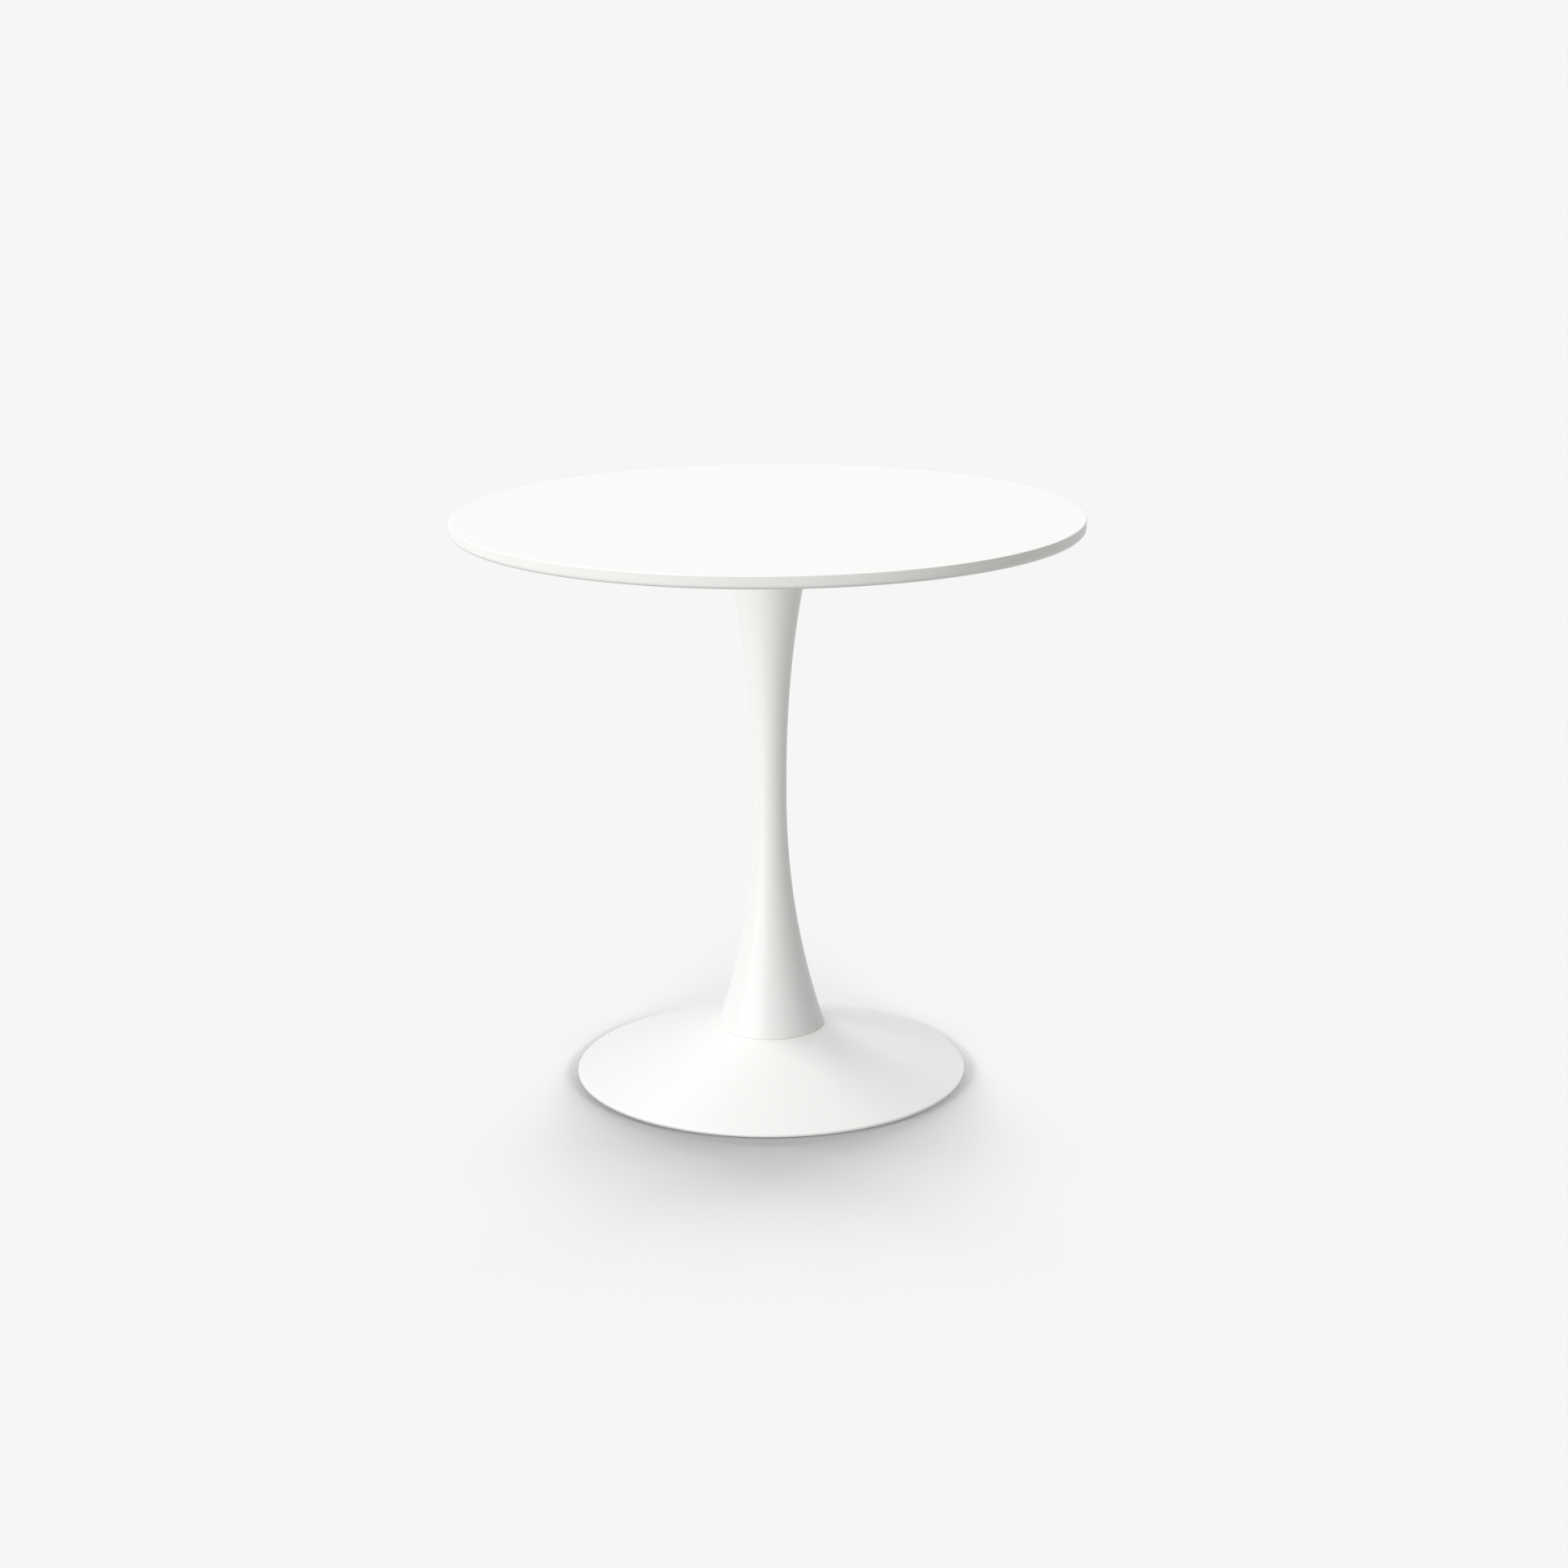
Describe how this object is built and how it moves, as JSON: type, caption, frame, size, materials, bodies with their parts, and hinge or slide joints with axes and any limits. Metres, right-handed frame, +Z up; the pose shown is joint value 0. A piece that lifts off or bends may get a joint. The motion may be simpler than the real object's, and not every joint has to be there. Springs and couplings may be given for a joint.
{
  "type": "round pedestal table",
  "caption": "Round pedestal table: a white disc top on a slim trumpet-shaped steel stem that flares into a shallow round dished base.",
  "frame": {"origin": "on the floor, on the stem's axis, with every levelling glide wound fully in", "axes": "+Z up along the stem; +X and +Y level, with the four glides on the diagonals between them"},
  "size_m": [0.7999, 0.8, 0.74],
  "materials": {
    "white_lacquer": "satin white lacquer on a fibreboard disc",
    "white_powder_coat": "satin white powder coat on steel, fine orange peel",
    "bare_steel": "mill-finish steel plate, welded in",
    "zinc_steel": "bright zinc plate",
    "grey_iron": "sand-cast grey iron, thin black dip paint",
    "nylon": "moulded black nylon"
  },
  "bodies": {
    "table": {"table_top": "white_lacquer", "threaded_inserts": "zinc_steel", "top_plate": "white_powder_coat", "top_screws": "zinc_steel", "screw_washers": "zinc_steel", "plate_nut": "zinc_steel", "stem_shell": "white_powder_coat", "stem_top_ring": "bare_steel", "stem_foot_ring": "bare_steel", "tie_rod": "zinc_steel", "base_shell": "white_powder_coat", "ballast_casting": "grey_iron", "locating_pins": "zinc_steel", "clamp_washer": "zinc_steel", "spring_washer": "zinc_steel", "tie_nut": "zinc_steel"},
    "pad_1": {"glide_pad_1": "nylon"},
    "stud_1": {"glide_stud_1": "zinc_steel"},
    "pad_2": {"glide_pad_2": "nylon"},
    "stud_2": {"glide_stud_2": "zinc_steel"},
    "pad_3": {"glide_pad_3": "nylon"},
    "stud_3": {"glide_stud_3": "zinc_steel"},
    "pad_4": {"glide_pad_4": "nylon"},
    "stud_4": {"glide_stud_4": "zinc_steel"}
  },
  "joints": [
    {"name": "glide_1_travel", "type": "slide", "parent": "table", "child": "pad_1", "axis": [0, 0, -1], "range_m": [0, 0.006]},
    {"name": "glide_1_turn", "type": "hinge", "parent": "pad_1", "child": "stud_1", "pos_m": [0.13435, 0.13435, 0.0094], "axis": [0, 0, -1], "range_deg": [0, 1728]},
    {"name": "glide_2_travel", "type": "slide", "parent": "table", "child": "pad_2", "axis": [0, 0, -1], "range_m": [0, 0.006]},
    {"name": "glide_2_turn", "type": "hinge", "parent": "pad_2", "child": "stud_2", "pos_m": [-0.13435, 0.13435, 0.0094], "axis": [0, 0, -1], "range_deg": [0, 1728]},
    {"name": "glide_3_travel", "type": "slide", "parent": "table", "child": "pad_3", "axis": [0, 0, -1], "range_m": [0, 0.006]},
    {"name": "glide_3_turn", "type": "hinge", "parent": "pad_3", "child": "stud_3", "pos_m": [-0.13435, -0.13435, 0.0094], "axis": [0, 0, -1], "range_deg": [0, 1728]},
    {"name": "glide_4_travel", "type": "slide", "parent": "table", "child": "pad_4", "axis": [0, 0, -1], "range_m": [0, 0.006]},
    {"name": "glide_4_turn", "type": "hinge", "parent": "pad_4", "child": "stud_4", "pos_m": [0.13435, -0.13435, 0.0094], "axis": [0, 0, -1], "range_deg": [0, 1728]}
  ],
  "couplings": [
    {"joint": "glide_1_turn", "follows": "glide_1_travel", "rad_per_m": 5026.5},
    {"joint": "glide_2_turn", "follows": "glide_2_travel", "rad_per_m": 5026.5},
    {"joint": "glide_3_turn", "follows": "glide_3_travel", "rad_per_m": 5026.5},
    {"joint": "glide_4_turn", "follows": "glide_4_travel", "rad_per_m": 5026.5}
  ]
}
